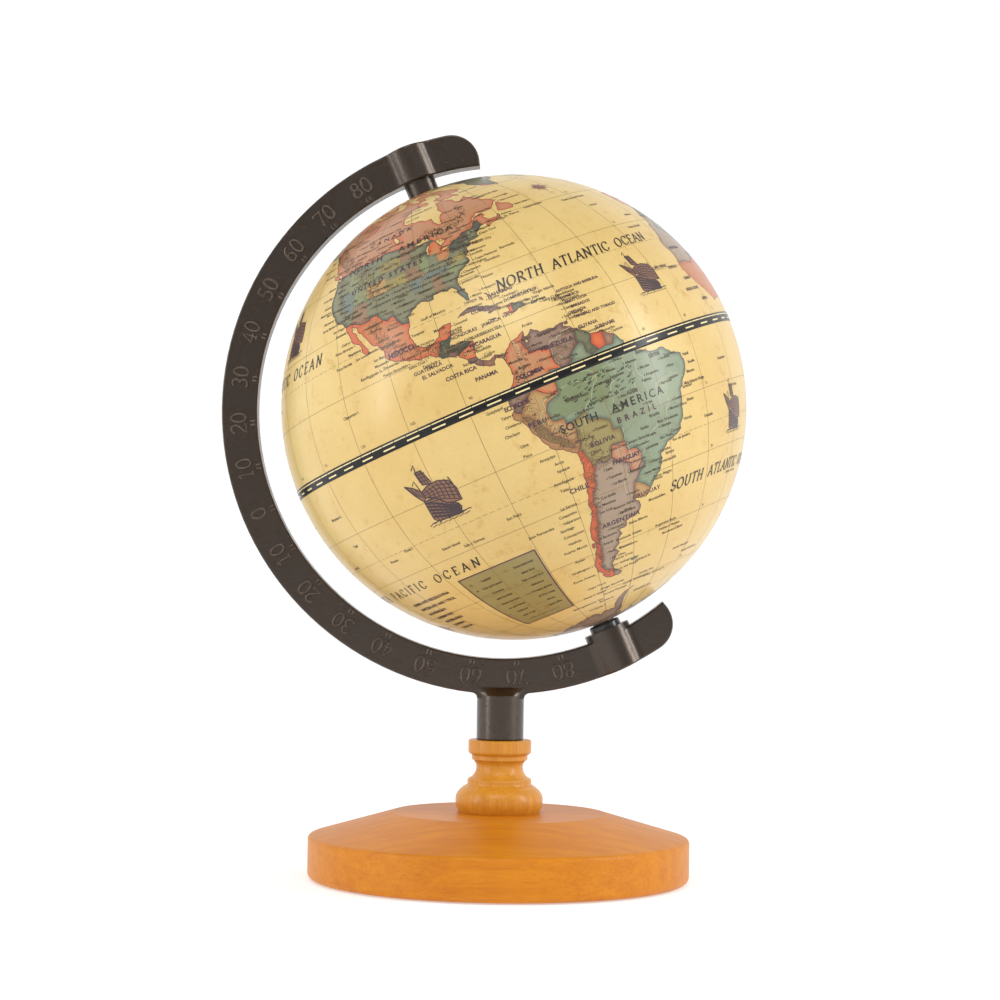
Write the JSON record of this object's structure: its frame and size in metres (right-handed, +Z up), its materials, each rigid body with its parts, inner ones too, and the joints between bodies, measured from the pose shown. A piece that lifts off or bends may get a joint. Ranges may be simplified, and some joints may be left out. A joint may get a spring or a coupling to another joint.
{
  "type": "desktop globe on stand",
  "caption": "Small desktop globe that spins on a tilted rod in a curved metal arm, on a turned wooden post and round bevelled base.",
  "frame": {"origin": "centre of the underside, on the table", "axes": "+Z up, -Y the front, the curved arm in the XZ plane on the -X side; the ball's axis leans 23.5 degrees from +Z towards -X"},
  "size_m": [0.1575, 0.14, 0.2236],
  "materials": {
    "base_wood": "orange-brown stained and lacquered fine-grained wood",
    "post_wood": "golden lacquered fine-grained wood",
    "felt": "short black felt",
    "steel": "plain steel",
    "arm_metal": "dark bronze-grey satin paint on a casting",
    "neck_plastic": "dark smooth plastic",
    "shell_plastic": "plain moulded plastic",
    "map_print": "antique map print under varnish",
    "equator_print": "black and cream printed scale strip under varnish"
  },
  "bodies": {
    "stand": {"base_disc": "base_wood", "base_felt_pad": "felt", "base_screw": "steel", "base_screw_washer": "steel", "turned_post": "post_wood", "meridian_arm": "arm_metal", "axle_rod": "steel", "axle_set_screw": "steel", "north_spacer": "arm_metal", "south_spacer": "neck_plastic", "north_thrust_washer": "neck_plastic", "south_thrust_washer": "neck_plastic"},
    "globe": {"northern_hemisphere": "shell_plastic", "southern_hemisphere": "shell_plastic", "equator_joining_ring": "shell_plastic", "north_pole_plug": "neck_plastic", "south_pole_plug": "neck_plastic", "northern_map_print": "map_print", "southern_map_print": "map_print", "equator_tape": "equator_print"}
  },
  "joints": [
    {"name": "globe_spin", "type": "hinge", "parent": "stand", "child": "globe", "pos_m": [0.00275, 0, 0.1418], "axis": [-0.3987, 0, 0.9171], "continuous": true}
  ]
}
